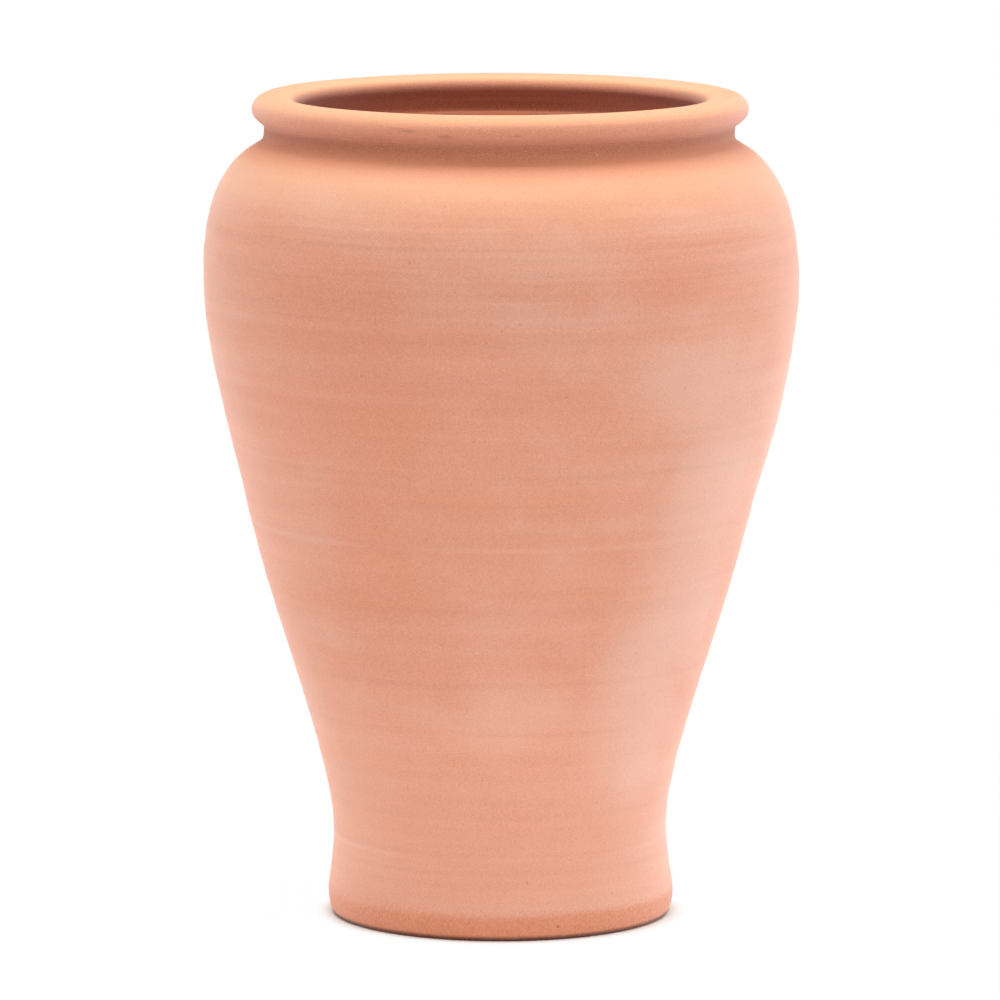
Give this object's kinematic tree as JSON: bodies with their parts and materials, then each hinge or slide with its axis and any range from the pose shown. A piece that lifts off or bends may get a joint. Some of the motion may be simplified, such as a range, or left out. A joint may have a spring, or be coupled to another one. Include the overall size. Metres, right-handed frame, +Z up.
{
  "type": "jar planter",
  "caption": "Tall unglazed terracotta jar planter with a rolled rim, undercut neck, high round belly, narrow waist and flared foot, open at the mouth, with a drainage hole in the floor.",
  "frame": {"origin": "centre of the flat underside, where the jar stands on the ground", "axes": "+Z up the axis of the jar, through the mouth; the jar is round, so +X and +Y are free"},
  "size_m": [0.3609, 0.3608, 0.5],
  "materials": {
    "terracotta": "matte",
    "trimmed_terracotta": "matte"
  },
  "bodies": {
    "root": {"base_slab": "trimmed_terracotta", "foot_ring": "terracotta", "lower_wall": "terracotta", "middle_wall": "terracotta", "belly_wall": "terracotta", "shoulder": "terracotta", "neck_collar": "terracotta", "rim_roll": "terracotta"}
  },
  "joints": []
}
